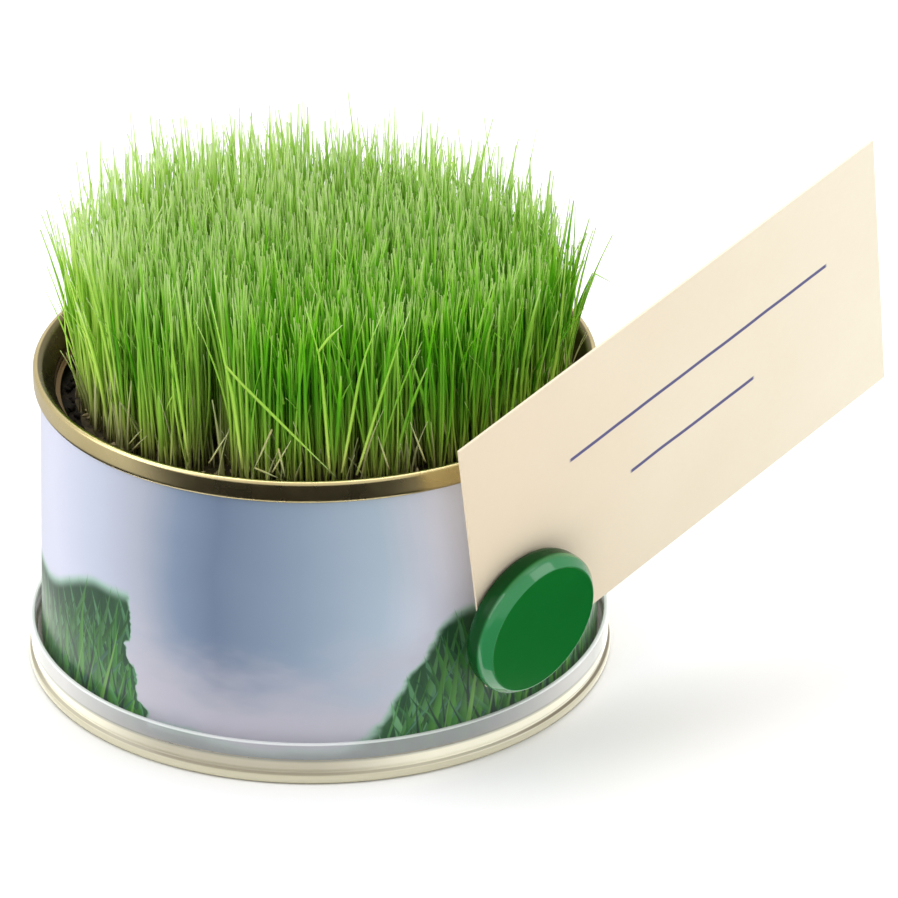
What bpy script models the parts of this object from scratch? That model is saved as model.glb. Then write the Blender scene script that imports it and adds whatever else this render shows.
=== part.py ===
"""A low tin of growing grass: it stands in its clear lid, and a magnet holds a card to its wall.

Metres, +Z up. The origin is the centre of the clear lid's flat underside. The card and the magnet
face -Y on a plane that leans out a little at the top, and the card reaches out to +X.
"""

import math
import random

import bmesh
import bpy
from mathutils import Matrix, Vector

GAP = 0.0003                    # clearance between pieces that touch
SEGMENTS = 64                   # facets around the tin
ARC_STEPS = 3                   # facets on a rounded edge
SHARP_ANGLE = math.radians(35)  # edges above this stay sharp in the shading
MERGE_DISTANCE = 1e-6

# Tin
TIN_HEIGHT = 0.05033            # top of the rim above the clear lid's underside
SEAM_RADIUS = 0.04365           # 87.3 mm across the double seams
SEAM_HEIGHT = 0.00316
SEAM_THICKNESS = 0.0014
SEAM_EDGE = 0.0005              # rounding of the seam's outer edges
WALL_RADIUS = 0.0416            # outside of the steel wall
WALL_THICKNESS = 0.0006
PANEL_THICKNESS = 0.0006        # sheet of the two ends
BASE_PANEL_Z = 0.0050           # underside of the recessed bottom panel
RING_DEPTH = 0.0049             # how far the top ring's wall reaches down from the rim
RING_LEDGE = 0.0006             # width of panel left at the cut edge

# Printed paper sleeve
LABEL_TOP_RADIUS = 0.0426
LABEL_FOOT_RADIUS = 0.0439
LABEL_THICKNESS = 0.0005
LABEL_FOOT_Z = 0.0046

# Clear lid
LID_FLOOR = 0.0009
LID_INNER_RADIUS = 0.0442
LID_WALL_RADIUS = 0.0456
LID_FOOT_RADIUS = 0.0460
LID_HEIGHT = 0.0068
LID_GROOVE_Z = 0.0021
LID_GROOVE_DEPTH = 0.0004
LID_EDGE = 0.0006               # rounding of the lip and of the foot

# Growing medium and sward
SOIL_TOP_Z = 0.0437
MAT_THICKNESS = 0.0011          # seeds and roots that hold the blades together
SWARD_RADIUS = 0.0372
SWARD_OFFSET = Vector((0.0016, -0.0016, 0.0))    # the mat has shrunk from the wall, more on one side
MAT_SEGMENTS = 48
BLADE_COUNT = 520
BLADE_HEIGHT = 0.0294           # mean height above the mat
BLADE_SPREAD = 0.0021           # standard deviation of the height
BLADE_SHORTEST = 0.0230
BLADE_TALLEST = 0.0360
TALL_SIDE = Vector((-1.0, 0.0, 0.0))     # the sward stands taller toward here
TALL_SIDE_GAIN = 0.0030         # extra height at that edge
BLADE_WIDTH = 0.00095
BLADE_DEPTH = 0.00070
BLADE_LEAN = 0.0022             # random lean of a tip
EDGE_LEAN = 0.0040              # most extra outward lean of the tips at the sward's edge
EDGE_LEAN_LEAST = 0.2           # least share of it that an edge blade gets
EDGE_LEAN_POWER = 4             # how fast it falls off toward the middle
BEND_HEIGHT = 0.6               # share of the height where a blade bends
BEND_SHARE = 0.4                # share of the lean reached at the bend
ROOT_DEPTH = 0.0007             # how deep a blade is sunk into the mat
SEED = 11

# Blades that lean out past the rim: compass angle, tip lean and height of each
STRAY_BLADES = (
    (math.radians(128), 0.0074, 0.0275),
    (math.radians(141), 0.0068, 0.0295),
    (math.radians(149), 0.0056, 0.0315),
    (math.radians(-47), 0.0072, 0.0268),
)

# Magnet and card, on one plane that leans out at the top
TAG_TILT = math.radians(10)
TAG_STANDOFF = 0.04108          # origin to the card's back, square to the card
CARD_LENGTH = 0.0889
CARD_WIDTH = 0.0508
CARD_THICKNESS = 0.0004
CARD_TURN = math.radians(16)
CARD_EDGE_MIDDLE = (-0.0139, 0.0433)     # middle of the card's near short edge, on the plane
MAGNET_CENTRE = (-0.0021, 0.0310)        # on the same plane
MAGNET_RADIUS = 0.0120
MAGNET_THICKNESS = 0.0050
MAGNET_EDGE = 0.0013
MAGNET_WALL = 0.0014
MAGNET_SEGMENTS = 40


def clear_scene():
    for old in list(bpy.data.objects):
        bpy.data.objects.remove(old, do_unlink=True)


def material(name, colour, roughness, metallic=0.0, alpha=1.0):
    made = bpy.data.materials.new(name)
    made.use_nodes = True
    shader = made.node_tree.nodes["Principled BSDF"]
    shader.inputs["Base Color"].default_value = (*colour, 1.0)
    shader.inputs["Roughness"].default_value = roughness
    shader.inputs["Metallic"].default_value = metallic
    shader.inputs["Alpha"].default_value = alpha
    return made


def object_from(bm, name, finish):
    bmesh.ops.recalc_face_normals(bm, faces=bm.faces)
    mesh = bpy.data.meshes.new(name)
    bm.to_mesh(mesh)
    bm.free()
    mesh.shade_smooth()
    mesh.set_sharp_from_angle(angle=SHARP_ANGLE)
    mesh.materials.append(finish)
    made = bpy.data.objects.new(name, mesh)
    bpy.context.scene.collection.objects.link(made)
    return made


def arc(centre, radius, start, end, steps=ARC_STEPS):
    """Points of an arc in the (radius, height) plane, from one angle in degrees to another."""
    turn = [math.radians(start + (end - start) * i / steps) for i in range(steps + 1)]
    return [(centre[0] + radius * math.cos(a), centre[1] + radius * math.sin(a)) for a in turn]


def turned(name, profile, finish, segments=SEGMENTS, closed=True):
    """Spin a profile of (radius, height) points about Z. An open profile starts and ends on the axis."""
    bm = bmesh.new()
    points = [bm.verts.new((r, 0.0, z)) for r, z in profile]
    pairs = list(zip(points, points[1:]))
    if closed:
        pairs.append((points[-1], points[0]))
    edges = [bm.edges.new(pair) for pair in pairs]
    bmesh.ops.spin(bm, geom=points + edges, cent=(0, 0, 0), axis=(0, 0, 1),
                   angle=math.tau, steps=segments, use_merge=True)
    bmesh.ops.remove_doubles(bm, verts=bm.verts, dist=MERGE_DISTANCE)
    return object_from(bm, name, finish)


def make_tin_body():
    lacquer = material("golden lacquer", (0.42, 0.30, 0.10), 0.32, 0.9)
    foot = BASE_PANEL_Z - PANEL_THICKNESS
    top = TIN_HEIGHT - SEAM_HEIGHT - GAP
    inner = WALL_RADIUS - WALL_THICKNESS
    profile = [(WALL_RADIUS, top), (WALL_RADIUS, foot), (inner, foot), (inner, top)]
    return turned("tin_body", profile, lacquer)


def make_top_ring():
    """The double seam, with the wall and the narrow ledge that the pulled-off lid leaves."""
    gold = material("golden rim", (0.62, 0.50, 0.24), 0.22, 1.0)
    low = TIN_HEIGHT - SEAM_HEIGHT
    seam_inner = SEAM_RADIUS - SEAM_THICKNESS
    wall = WALL_RADIUS - WALL_THICKNESS - GAP
    foot = TIN_HEIGHT - RING_DEPTH
    outer_top = arc((SEAM_RADIUS - SEAM_EDGE, TIN_HEIGHT - SEAM_EDGE), SEAM_EDGE, 90, 0)
    outer_low = arc((SEAM_RADIUS - SEAM_EDGE, low + SEAM_EDGE), SEAM_EDGE, 0, -90)
    profile = [(seam_inner + SEAM_EDGE, TIN_HEIGHT)] + outer_top + outer_low + [
        (wall, low),
        (wall, foot),
        (wall - PANEL_THICKNESS - RING_LEDGE, foot),
        (wall - PANEL_THICKNESS - RING_LEDGE, foot + PANEL_THICKNESS),
        (wall - PANEL_THICKNESS, foot + PANEL_THICKNESS),
        (wall - PANEL_THICKNESS, low),
        (seam_inner, TIN_HEIGHT - SEAM_EDGE),
    ]
    return turned("top_ring", profile, gold)


def make_tin_base():
    """The lower double seam and the recessed panel that closes the tin."""
    gold = material("golden base", (0.62, 0.52, 0.30), 0.25, 1.0)
    low = LID_FLOOR + GAP
    high = low + SEAM_HEIGHT
    top = BASE_PANEL_Z + PANEL_THICKNESS
    wall = WALL_RADIUS - WALL_THICKNESS - GAP
    edge = SEAM_RADIUS - SEAM_EDGE
    profile = [(0.0, top), (wall, top), (wall, high)]
    profile += arc((edge, high - SEAM_EDGE), SEAM_EDGE, 90, 0)
    profile += arc((edge, low + SEAM_EDGE), SEAM_EDGE, 0, -90)
    profile += [(SEAM_RADIUS - SEAM_THICKNESS, low), (wall - PANEL_THICKNESS, high - PANEL_THICKNESS),
                (wall - PANEL_THICKNESS, BASE_PANEL_Z), (0.0, BASE_PANEL_Z)]
    return turned("tin_base", profile, gold, closed=False)


def make_label():
    paper = material("printed paper", (0.52, 0.60, 0.76), 0.45)
    top = TIN_HEIGHT - SEAM_HEIGHT - GAP
    return turned("label", [
        (LABEL_TOP_RADIUS, top),
        (LABEL_FOOT_RADIUS, LABEL_FOOT_Z),
        (LABEL_FOOT_RADIUS - LABEL_THICKNESS, LABEL_FOOT_Z),
        (LABEL_TOP_RADIUS - LABEL_THICKNESS, top),
    ], paper)


def make_clear_lid():
    plastic = material("clear plastic", (0.86, 0.92, 0.92), 0.06, alpha=0.35)
    lip = LID_WALL_RADIUS - LID_EDGE
    foot = LID_FOOT_RADIUS - LID_EDGE
    profile = [(0.0, LID_FLOOR), (LID_INNER_RADIUS, LID_FLOOR), (LID_INNER_RADIUS, LID_HEIGHT)]
    profile += arc((lip, LID_HEIGHT - LID_EDGE), LID_EDGE, 90, 0)
    profile += [(LID_WALL_RADIUS, LID_GROOVE_Z + LID_GROOVE_DEPTH),
                (LID_WALL_RADIUS - LID_GROOVE_DEPTH, LID_GROOVE_Z),
                (LID_FOOT_RADIUS, LID_GROOVE_Z - LID_GROOVE_DEPTH)]
    profile += arc((foot, LID_EDGE), LID_EDGE, 0, -90)
    profile += [(0.0, 0.0)]
    return turned("clear_lid", profile, plastic, closed=False)


def make_soil():
    earth = material("dark soil", (0.035, 0.024, 0.014), 0.9)
    radius = WALL_RADIUS - WALL_THICKNESS - GAP
    foot = BASE_PANEL_Z + PANEL_THICKNESS + GAP
    profile = [(0.0, SOIL_TOP_Z), (radius, SOIL_TOP_Z), (radius, foot), (0.0, foot)]
    return turned("soil", profile, earth, closed=False)


def blade_object(root, tip_lean, height, facing, finish):
    """A three-sided tapering blade with one bend, from its sunk root to its point."""
    side = Vector((math.cos(facing), math.sin(facing), 0.0))
    front = Vector((-side.y, side.x, 0.0))
    corners = (side * BLADE_WIDTH / 2, side * -BLADE_WIDTH / 2, front * BLADE_DEPTH)
    foot = root - Vector((0.0, 0.0, ROOT_DEPTH))
    bend = root + tip_lean * BEND_SHARE + Vector((0.0, 0.0, height * BEND_HEIGHT))
    bm = bmesh.new()
    low = [bm.verts.new(foot + corner) for corner in corners]
    middle = [bm.verts.new(bend + corner) for corner in corners]
    point = bm.verts.new(root + tip_lean + Vector((0.0, 0.0, height)))
    bm.faces.new(low)
    for i in range(3):
        j = (i + 1) % 3
        bm.faces.new((low[i], low[j], middle[j]))
        bm.faces.new((low[i], middle[j], middle[i]))
        bm.faces.new((middle[i], middle[j], point))
    return object_from(bm, "blade", finish)


def blade_height(place, draw):
    taller = TALL_SIDE_GAIN * (place - SWARD_OFFSET).dot(TALL_SIDE) / SWARD_RADIUS
    height = draw.gauss(BLADE_HEIGHT + taller, BLADE_SPREAD)
    return min(max(height, BLADE_SHORTEST), BLADE_TALLEST)


def sward_blades(mat_top, finish):
    """Blades on a sunflower spiral over the mat, each with its own lean, height and facing."""
    draw = random.Random(SEED)
    golden_angle = math.pi * (3 - math.sqrt(5))
    edge = SWARD_RADIUS - BLADE_WIDTH
    blades = []
    for i in range(BLADE_COUNT):
        reach = math.sqrt((i + 0.5) / BLADE_COUNT)
        outward = Vector((math.cos(i * golden_angle), math.sin(i * golden_angle), 0.0))
        root = SWARD_OFFSET + outward * edge * reach
        root.z = mat_top
        any_way = draw.uniform(0.0, math.tau)
        lean = Vector((math.cos(any_way), math.sin(any_way), 0.0)) * draw.uniform(0.0, BLADE_LEAN)
        edge_share = draw.uniform(EDGE_LEAN_LEAST, 1.0)
        lean += outward * EDGE_LEAN * reach ** EDGE_LEAN_POWER * edge_share
        height = blade_height(root, draw)
        facing = draw.uniform(0.0, math.tau)
        blades.append(blade_object(root, lean, height, facing, finish))
    for angle, lean, height in STRAY_BLADES:
        outward = Vector((math.cos(angle), math.sin(angle), 0.0))
        root = SWARD_OFFSET + outward * edge
        root.z = mat_top
        blades.append(blade_object(root, outward * lean, height, angle, finish))
    return blades


def join_by_union(base, pieces):
    """Fuse the pieces into the base with one applied union, then drop them."""
    group = bpy.data.collections.new("pieces to join")
    bpy.context.scene.collection.children.link(group)
    for piece in pieces:
        group.objects.link(piece)
    union = base.modifiers.new("join", "BOOLEAN")
    union.operation = "UNION"
    union.solver = "MANIFOLD"
    union.operand_type = "COLLECTION"
    union.collection = group
    evaluated = base.evaluated_get(bpy.context.evaluated_depsgraph_get())
    joined = bpy.data.meshes.new_from_object(evaluated)
    base.modifiers.clear()
    base.data = joined
    for piece in pieces:
        bpy.data.objects.remove(piece, do_unlink=True)
    bpy.data.collections.remove(group)


def make_grass_sward():
    green = material("young grass", (0.20, 0.46, 0.05), 0.5)
    foot = SOIL_TOP_Z + GAP
    top = foot + MAT_THICKNESS
    profile = [(0.0, top), (SWARD_RADIUS, top), (SWARD_RADIUS, foot), (0.0, foot)]
    mat = turned("grass_sward", profile, green, segments=MAT_SEGMENTS,
                 closed=False)
    mat.data.transform(Matrix.Translation(SWARD_OFFSET))
    join_by_union(mat, sward_blades(top, green))
    return mat


def make_tag_mount():
    """An empty on the card's back plane: local X runs right, local Y up the card, local Z outward."""
    mount = bpy.data.objects.new("tag_mount", None)
    bpy.context.scene.collection.objects.link(mount)
    mount.rotation_euler = (math.pi / 2 + TAG_TILT, 0.0, 0.0)
    mount.location = mount.rotation_euler.to_matrix() @ Vector((0.0, 0.0, TAG_STANDOFF))
    return mount


def make_card(mount):
    stock = material("cream card", (0.85, 0.72, 0.52), 0.6)
    bm = bmesh.new()
    bmesh.ops.create_cube(bm, size=1.0)
    bmesh.ops.scale(bm, vec=(CARD_LENGTH, CARD_WIDTH, CARD_THICKNESS), verts=bm.verts)
    bmesh.ops.translate(bm, vec=(CARD_LENGTH / 2, 0.0, CARD_THICKNESS / 2), verts=bm.verts)
    card = object_from(bm, "card", stock)
    card.parent = mount
    card.location = (*CARD_EDGE_MIDDLE, 0.0)
    card.rotation_euler = (0.0, 0.0, CARD_TURN)
    return card


def make_magnet(mount):
    green = material("green plastic", (0.005, 0.13, 0.025), 0.25)
    ferrite = material("ferrite", (0.05, 0.05, 0.055), 0.6)
    cavity = MAGNET_RADIUS - MAGNET_WALL
    roof = MAGNET_THICKNESS - MAGNET_WALL
    shoulder = (MAGNET_RADIUS - MAGNET_EDGE, MAGNET_THICKNESS - MAGNET_EDGE)
    profile = [(0.0, MAGNET_THICKNESS)] + arc(shoulder, MAGNET_EDGE, 90, 0)
    profile += [(MAGNET_RADIUS, 0.0), (cavity, 0.0), (cavity, roof), (0.0, roof)]
    cap = turned("magnet_cap", profile, green, segments=MAGNET_SEGMENTS, closed=False)
    inner = cavity - GAP
    disc = [(0.0, roof - GAP), (inner, roof - GAP), (inner, 0.0), (0.0, 0.0)]
    core = turned("magnet_core", disc, ferrite, segments=MAGNET_SEGMENTS, closed=False)
    for piece in (cap, core):
        piece.parent = mount
        piece.location = (*MAGNET_CENTRE, CARD_THICKNESS + GAP)


def main():
    clear_scene()
    make_tin_body()
    make_top_ring()
    make_tin_base()
    make_label()
    make_clear_lid()
    make_soil()
    make_grass_sward()
    mount = make_tag_mount()
    make_card(mount)
    make_magnet(mount)


main()
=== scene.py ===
"""Looks of a low tin of growing grass: it stands in its clear lid, and a magnet holds a card to its wall.

Metres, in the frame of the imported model: +Z up, origin at the middle of the clear lid's underside.
"""

import math
import random

import bmesh
import bpy
import numpy as np
from mathutils import Euler, Matrix, Vector, noise


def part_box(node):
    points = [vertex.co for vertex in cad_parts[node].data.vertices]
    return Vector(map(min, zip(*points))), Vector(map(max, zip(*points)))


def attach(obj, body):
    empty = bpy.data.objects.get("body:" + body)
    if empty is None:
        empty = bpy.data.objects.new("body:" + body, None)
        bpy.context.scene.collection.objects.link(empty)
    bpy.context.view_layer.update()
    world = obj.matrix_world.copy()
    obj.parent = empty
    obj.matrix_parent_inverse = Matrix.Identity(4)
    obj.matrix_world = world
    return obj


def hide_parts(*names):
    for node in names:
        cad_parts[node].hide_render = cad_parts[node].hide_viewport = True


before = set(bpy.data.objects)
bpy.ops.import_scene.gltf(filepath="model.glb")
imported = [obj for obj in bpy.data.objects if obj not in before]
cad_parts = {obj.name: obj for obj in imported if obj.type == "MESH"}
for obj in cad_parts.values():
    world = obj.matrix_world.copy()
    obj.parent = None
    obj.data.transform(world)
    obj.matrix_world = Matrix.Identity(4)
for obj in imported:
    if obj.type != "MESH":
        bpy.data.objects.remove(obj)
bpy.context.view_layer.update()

MM = 0.001

# Camera, as the photograph was taken
CAMERA_AZIMUTH = math.radians(-44.64)
CAMERA_ELEVATION = math.radians(26.78)
CAMERA_ROLL = math.radians(-0.41)
CAMERA_DISTANCE = 948.5 * MM
CAMERA_LENS = 242.83
SENSOR_WIDTH = 36.0
AIM_RIGHT = 20.61 * MM
AIM_UP = 7.63 * MM
AIM_HEIGHT = 25.20 * MM

# Tin, read from the frame
ring_low, ring_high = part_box("top_ring")
base_low, base_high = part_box("tin_base")
wall_low, wall_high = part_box("tin_body")
label_low, label_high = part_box("label")
lid_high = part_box("clear_lid")[1]
soil_low, soil_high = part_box("soil")
RIM_TOP = ring_high.z
RING_FOOT = ring_low.z
SEAM_RADIUS = ring_high.x
SEAM_HEIGHT = 3.16 * MM
RIM_HEIGHT = 3.7 * MM            # the top seam's skirt hangs over the paper's edge
SEAM_THICKNESS = 1.4 * MM
SHEET = 0.35 * MM
PIECE_GAP = 0.3 * MM            # between pieces that touch
WALL_RADIUS = wall_high.x
WALL_INNER = WALL_RADIUS - 0.6 * MM
LABEL_FOOT_RADIUS = label_high.x
LABEL_TOP_RADIUS = 42.6 * MM
LABEL_PAPER = 0.18 * MM
LABEL_OVERHANG = 1.4 * MM        # how far the paper reaches over the lower seam
LID_FOOT_RADIUS = lid_high.x
LID_TOP = lid_high.z
LID_WALL_RADIUS = 45.6 * MM
LID_THICKNESS = 0.8 * MM
LID_STEP = 1.65 * MM
SEAM_LINE = 3.9 * MM            # where the lower seam's top shows through the lid's wall
SOIL_RADIUS = soil_high.x
SOIL_TOP = soil_high.z

# Sward
SWARD_RADIUS = 38.4 * MM
SWARD_OFFSET = Vector((0.9, -0.9, 0.0)) * MM
MAT_TOP = SOIL_TOP + 1.4 * MM
TONES = 32                      # steps of colour from one blade to another

# Card and magnet, on one plane that leans out at the top
TAG_TILT = math.radians(10)
TAG_STANDOFF = 41.08 * MM
CARD_LENGTH = 88.9 * MM
CARD_WIDTH = 50.8 * MM
CARD_THICKNESS = 0.4 * MM
CARD_TURN = math.radians(16)
CARD_EDGE_MIDDLE = Vector((-13.9, 43.3, 0.0)) * MM
MAGNET_CENTRE = Vector((-2.1, 31.0, 0.0)) * MM
MAGNET_RADIUS = 12.0 * MM
MAGNET_THICKNESS = 5.0 * MM
MAGNET_WALL = 1.4 * MM

TAG_ROTATION = Euler((math.pi / 2 + TAG_TILT, 0.0, 0.0)).to_matrix().to_4x4()
TAG_PLANE = TAG_ROTATION @ Matrix.Translation((0.0, 0.0, TAG_STANDOFF))

TOWARD_CAMERA = Vector((math.sin(CAMERA_AZIMUTH), -math.cos(CAMERA_AZIMUTH), 0.0))
TO_THE_RIGHT = Vector((math.cos(CAMERA_AZIMUTH), math.sin(CAMERA_AZIMUTH), 0.0))


class Value:
    """A node's output that takes part in Python arithmetic through Math nodes."""

    def __init__(self, tree, socket):
        self.tree = tree
        self.socket = socket

    def math(self, operation, *others):
        terms = dict(enumerate((self, *others)))
        return self.tree.node("ShaderNodeMath", {"operation": operation}, terms)

    def __add__(self, other):
        return self.math("ADD", other)

    def __sub__(self, other):
        return self.math("SUBTRACT", other)

    def __rsub__(self, other):
        return self.tree.node("ShaderNodeMath", {"operation": "SUBTRACT"}, {0: other, 1: self})

    def __mul__(self, other):
        return self.math("MULTIPLY", other)

    def __truediv__(self, other):
        return self.math("DIVIDE", other)

    __radd__ = __add__


class Tree:
    """A node tree of a finish, or of the world."""

    def __init__(self, node_tree):
        self.node_tree = node_tree

    def node(self, kind, settings, sockets, output=0):
        """Any node: its settings are set first, then its sockets get values or links."""
        made = self.node_tree.nodes.new(kind)
        for name, value in settings.items():
            if name == "stops":
                set_stops(made.color_ramp, value)
            else:
                setattr(made, name, value)
        for name, value in sockets.items():
            self.feed(made.inputs[name], value)
        return Value(self, made.outputs[output])

    def feed(self, socket, value):
        if isinstance(value, Value):
            self.node_tree.links.new(value.socket, socket)
        elif socket.type == "RGBA" and len(value) == 3:
            socket.default_value = (*value, 1.0)
        else:
            socket.default_value = value

    def place(self):
        return self.node("ShaderNodeTexCoord", {}, {}, "Object")

    def attribute(self, name):
        return self.node("ShaderNodeAttribute", {"attribute_name": name}, {}, "Fac")

    def axes(self, vector):
        """The three parts of a vector."""
        parts = self.node("ShaderNodeSeparateXYZ", {}, {0: vector})
        return [Value(self, parts.socket.node.outputs[i]) for i in range(3)]

    def off_axis(self, x, y):
        """Distance from the Z axis."""
        return (x * x + y * y).math("SQRT")

    def vector(self, x, y, z):
        return self.node("ShaderNodeCombineXYZ", {}, {0: x, 1: y, 2: z})

    def noise(self, place, scale, detail=3.0, roughness=0.5):
        sockets = {"Vector": place, "Scale": scale, "Detail": detail, "Roughness": roughness}
        return self.node("ShaderNodeTexNoise", {}, sockets, "Fac")

    def chance(self, number):
        """A random value from 0 to 1 for each whole number."""
        return self.node("ShaderNodeTexWhiteNoise", {"noise_dimensions": "1D"}, {"W": number}, "Value")

    def smooth(self, value, start, end):
        """0 before start, 1 after end, and a smooth step between them."""
        sockets = {"Value": value, "From Min": start, "From Max": end}
        return self.node("ShaderNodeMapRange", {"interpolation_type": "SMOOTHSTEP"}, sockets)

    def ramp(self, value, stops):
        return self.node("ShaderNodeValToRGB", {"stops": stops}, {0: value}, "Color")

    def mix(self, share, first, second, blend="MIX"):
        settings = {"data_type": "RGBA", "blend_type": blend, "clamp_factor": True}
        return self.node("ShaderNodeMix", settings, {0: share, 6: first, 7: second}, 2)


class Finish(Tree):
    """A material with a Principled shader."""

    def __init__(self, name, **constants):
        self.material = bpy.data.materials.new(name)
        self.material.use_nodes = True
        super().__init__(self.material.node_tree)
        self.shader = self.node_tree.nodes["Principled BSDF"]
        self.output = self.node_tree.nodes["Material Output"]
        for socket, value in constants.items():
            self.feed(self.shader.inputs[socket.replace("_", " ")], value)

    def surface(self, socket, value):
        self.feed(self.shader.inputs[socket], value)

    def bump(self, height, distance, strength=1.0):
        sockets = {"Height": height, "Distance": distance, "Strength": strength}
        self.surface("Normal", self.node("ShaderNodeBump", {}, sockets))


def set_stops(ramp, stops):
    """Stops are (place, colour) pairs."""
    while len(ramp.elements) < len(stops):
        ramp.elements.new(1.0)
    for element, (place, colour) in zip(ramp.elements, stops):
        element.position = place
        element.color = (*colour, 1.0)


def lacquered_gold():
    """Tinplate under golden lacquer with streaks and fine scuffs; painted shade turns the ring's inner
    wall brown.
    """
    gold = Finish("golden lacquer", Metallic=1.0)
    place = gold.place()
    x, y, height = gold.axes(place)
    radius = gold.off_axis(x, y)
    outside = gold.smooth(radius, SEAM_RADIUS - 0.85 * MM, SEAM_RADIUS - 0.60 * MM)
    rolled = gold.smooth(radius, SEAM_RADIUS - SEAM_THICKNESS - 0.3 * MM, SEAM_RADIUS - SEAM_THICKNESS)
    streaks = gold.noise(place, 260.0, 2.0)
    mottle = gold.noise(place, 45.0, 4.0)
    bright = gold.ramp(mottle, ((0.30, (0.62, 0.50, 0.235)), (0.70, (0.79, 0.665, 0.36))))
    # Painted shade: dark brown on the ring's inner wall, a darker tan on the seam's inner roll.
    brown = gold.ramp(mottle, ((0.35, (0.045, 0.028, 0.010)), (0.65, (0.16, 0.10, 0.035))))
    ledge = gold.smooth(height, RING_FOOT + 1.6 * MM, RING_FOOT + 0.5 * MM)
    brown = gold.mix(ledge * 0.8, brown, (0.15, 0.085, 0.018))
    brown = gold.mix(rolled, brown, (0.21, 0.165, 0.080))
    lower = gold.smooth(height, 20 * MM, 10 * MM)
    gold.surface("Base Color", gold.mix(outside.math("MAXIMUM", lower), brown, bright))
    gold.surface("Roughness", 0.22 + streaks * 0.12)
    gold.bump(gold.noise(place, 900.0, 2.0), 0.01 * MM, 0.4)
    return gold.material


def lacquered_wall():
    """Lacquer inside the tin, dark with painted shade that deepens toward the soil, where it is also
    rougher.
    """
    brown = Finish("inner lacquer", Metallic=1.0)
    place = brown.place()
    height = brown.axes(place)[2]
    uneven = brown.noise(place, 120.0, 4.0) * (4 * MM)
    # Painted shade: the wall is lighter toward the rim and darkest down by the soil.
    toward_rim = brown.smooth(height + uneven, 44.5 * MM, 49.5 * MM)
    tint = brown.mix(toward_rim, (0.030, 0.020, 0.008), (0.17, 0.105, 0.035))
    brown.surface("Base Color", tint)
    brown.surface("Roughness", 0.42 - toward_rim * 0.16)
    brown.bump(brown.noise(place, 400.0, 3.0), 0.03 * MM, 0.4)
    return brown.material


def around_the_label(tree):
    """Millimetres around the sleeve, 0 at the front and growing to the right, and up it."""
    x, y, z = tree.axes(tree.place())
    right = x * TO_THE_RIGHT.x + y * TO_THE_RIGHT.y
    front = x * TOWARD_CAMERA.x + y * TOWARD_CAMERA.y
    turn = right.math("ARCTAN2", front)
    return turn * (LABEL_TOP_RADIUS / MM), z * (1 / MM)


def printed_blades(label, colour, around, up, meadow_top, layer):
    """One layer of printed grass blades over the colour: leaning strips that taper to their tips."""
    lean, cell_width, share, drop, spread, seed, dark, light = layer
    wave = label.noise(label.vector(around * 0.035, up * 0.030, seed), 1.0, 1.0)
    strip = (around - up * math.tan(math.radians(lean)) + wave * 9.0) / cell_width
    cell = strip.math("FLOOR")
    draw = label.chance(cell + seed * 57.3)
    shade = label.chance(cell + seed * 91.7)
    below_tip = (meadow_top + PRINTED_TIPS - drop - draw * spread - up) / (cell_width * 5.0)
    half = below_tip.math("MINIMUM", 1.0) * share * (0.65 + shade * 0.35)
    across = strip - cell - 0.5
    blade = label.smooth(half - across.math("ABSOLUTE"), 0.0, 0.07)
    lit = label.smooth(across / share, -0.9, 0.9)
    tint = label.mix(shade * 0.5 + lit * 0.5, dark, light)
    return label.mix(blade, colour, tint)


BLADE_LAYERS = (
    (-14.0, 3.0, 0.50, 0.0, 3.0, 1.0, (0.050, 0.200, 0.090), (0.170, 0.420, 0.180)),
    (16.0, 2.4, 0.45, 0.5, 4.0, 2.0, (0.020, 0.100, 0.040), (0.120, 0.360, 0.090)),
    (-28.0, 2.7, 0.44, 1.5, 5.0, 3.0, (0.004, 0.035, 0.022), (0.050, 0.220, 0.060)),
    (24.0, 2.2, 0.42, 2.0, 6.0, 4.0, (0.003, 0.022, 0.012), (0.060, 0.260, 0.025)),
    (-6.0, 1.9, 0.40, 1.0, 8.0, 5.0, (0.004, 0.050, 0.016), (0.070, 0.340, 0.035)),
    (39.0, 3.4, 0.28, 3.0, 8.0, 6.0, (0.008, 0.060, 0.045), (0.100, 0.300, 0.170)),
    (9.0, 2.5, 0.38, 2.0, 9.0, 7.0, (0.006, 0.085, 0.014), (0.120, 0.430, 0.040)),
    (-38.0, 4.4, 0.24, 3.0, 8.0, 8.0, (0.008, 0.100, 0.030), (0.130, 0.450, 0.110)),
    (3.0, 3.8, 0.20, 2.0, 8.0, 9.0, (0.002, 0.012, 0.012), (0.008, 0.045, 0.035)),
    (-19.0, 3.4, 0.17, 1.0, 9.0, 10.0, (0.002, 0.015, 0.010), (0.012, 0.070, 0.024)),
    (17.0, 3.6, 0.16, 1.5, 9.0, 11.0, (0.060, 0.280, 0.045), (0.260, 0.560, 0.100)),
    (-50.0, 7.0, 0.06, 2.0, 9.0, 12.0, (0.080, 0.310, 0.130), (0.230, 0.540, 0.270)),
    (31.0, 5.6, 0.06, 1.5, 9.0, 13.0, (0.140, 0.360, 0.100), (0.360, 0.620, 0.250)),
)
# The sky from 60 mm left of the front (0) to 40 mm right of it (1)
SKY = (
    (0.10, (0.62, 0.64, 0.78)), (0.24, (0.48, 0.52, 0.65)), (0.33, (0.38, 0.41, 0.50)),
    (0.40, (0.20, 0.268, 0.386)), (0.46, (0.146, 0.204, 0.310)), (0.58, (0.242, 0.320, 0.434)),
    (0.70, (0.390, 0.485, 0.588)), (0.80, (0.680, 0.690, 0.800)), (0.90, (0.70, 0.71, 0.81)))
# The meadow's edge, in millimetres up the sleeve
MEADOW_LOWEST = 5.6
RIGHT_BANK = 19.5
LEFT_BANK = 14.0
LEFT_BANK_GAIN = 7.5            # how much higher the left bank's inner end stands
PRINTED_TIPS = 1.8              # how far the blades reach over the edge


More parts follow.
